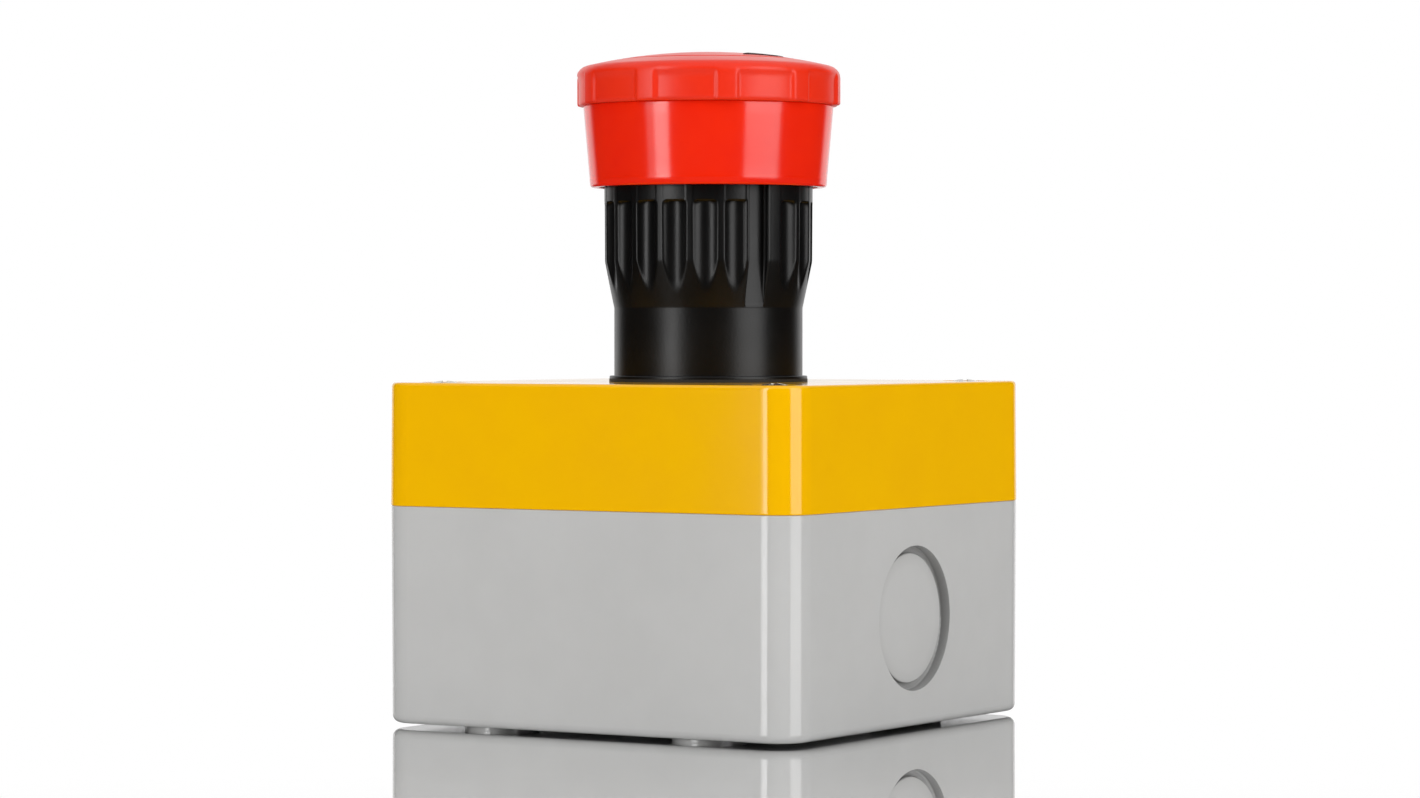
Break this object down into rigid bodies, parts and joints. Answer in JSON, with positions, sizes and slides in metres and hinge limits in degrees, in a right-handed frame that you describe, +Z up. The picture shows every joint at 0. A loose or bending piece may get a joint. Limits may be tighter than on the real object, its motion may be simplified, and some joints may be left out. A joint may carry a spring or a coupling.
{
  "type": "emergency stop button",
  "caption": "Emergency stop station: red twist-to-release mushroom head on a long black fluted collar, square yellow and grey enclosure.",
  "frame": {"origin": "centre of the enclosure on the plane its mounting pads stand on", "axes": "+Z up along the press axis; the conduit knock-outs face +X and -X"},
  "size_m": [0.0716, 0.0716, 0.1007],
  "materials": {
    "grey_abs": "fine satin moulded",
    "yellow_abs": "fine satin moulded",
    "black_rubber": "matt",
    "black_nylon": "satin moulded",
    "dark_grey_nylon": "satin moulded",
    "screw_steel": "zinc plated",
    "spring_steel": "drawn wire",
    "white_acetal": "turned",
    "red_satin_plastic": "satin moulded",
    "red_gloss_plastic": "glossy moulded",
    "dark_red_marking": "satin inlay",
    "red_plunger_plastic": "moulded",
    "clear_polycarbonate": "clear moulded",
    "contact_brass": "stamped"
  },
  "bodies": {
    "enclosure": {"enclosure_base": "grey_abs", "enclosure_cover": "yellow_abs", "cover_gasket": "black_rubber", "cover_screws": "screw_steel", "panel_seal": "black_rubber", "guard_collar": "black_nylon", "actuator_body": "black_nylon", "stem_seal": "black_rubber", "mounting_nut": "black_nylon", "lock_washer": "screw_steel", "contact_adapter": "dark_grey_nylon", "adapter_screws": "screw_steel", "return_spring": "spring_steel", "contact_housing_left": "dark_grey_nylon", "contact_side_cover_left": "clear_polycarbonate", "fixed_contacts_left": "contact_brass", "terminal_clamps_left": "screw_steel", "terminal_screws_left": "screw_steel", "contact_spring_left": "spring_steel", "contact_housing_right": "dark_grey_nylon", "contact_side_cover_right": "clear_polycarbonate", "fixed_contacts_right": "contact_brass", "terminal_clamps_right": "screw_steel", "terminal_screws_right": "screw_steel", "contact_spring_right": "spring_steel"},
    "stem": {"push_stem": "white_acetal", "contact_pusher": "white_acetal", "head_clip": "spring_steel", "latch_spring": "spring_steel"},
    "head": {"mushroom_cap": "red_satin_plastic", "mushroom_skirt": "red_gloss_plastic", "marker_disc": "red_satin_plastic", "release_arrows": "dark_red_marking", "twist_spring": "spring_steel"},
    "plunger_left": {"contact_plunger_left": "red_plunger_plastic", "contact_bridge_left": "contact_brass"},
    "latch_left": {"latch_pin_left": "screw_steel"},
    "plunger_right": {"contact_plunger_right": "red_plunger_plastic", "contact_bridge_right": "contact_brass"},
    "latch_right": {"latch_pin_right": "screw_steel"}
  },
  "joints": [
    {"name": "head_press", "type": "slide", "parent": "enclosure", "child": "stem", "axis": [0, 0, -1], "range_m": [0, 0.005], "stiffness_N_per_m": 2500, "springref_m": -0.003, "deforming": ["return_spring"]},
    {"name": "head_twist", "type": "hinge", "parent": "stem", "child": "head", "pos_m": [0, 0, 0.09], "axis": [0, 0, -1], "range_deg": [0, 45], "stiffness_Nm_per_rad": 0.06, "springref_deg": -11.46},
    {"name": "plunger_left_slide", "type": "slide", "parent": "enclosure", "child": "plunger_left", "axis": [0, 0, -1], "range_m": [0, 0.005], "deforming": ["contact_spring_left"]},
    {"name": "plunger_right_slide", "type": "slide", "parent": "enclosure", "child": "plunger_right", "axis": [0, 0, -1], "range_m": [0, 0.005], "deforming": ["contact_spring_right"]},
    {"name": "latch_left_slide", "type": "slide", "parent": "stem", "child": "latch_left", "axis": [-1, 0, 0], "range_m": [0, 0.001], "deforming": ["latch_spring"]},
    {"name": "latch_right_slide", "type": "slide", "parent": "stem", "child": "latch_right", "axis": [1, 0, 0], "range_m": [0, 0.001]}
  ],
  "couplings": [
    {"joint": "plunger_left_slide", "follows": "head_press", "ratio": 1},
    {"joint": "plunger_right_slide", "follows": "head_press", "ratio": 1},
    {"joint": "latch_left_slide", "follows": "head_press", "ratio": 0.2},
    {"joint": "latch_right_slide", "follows": "head_press", "ratio": 0.2}
  ]
}
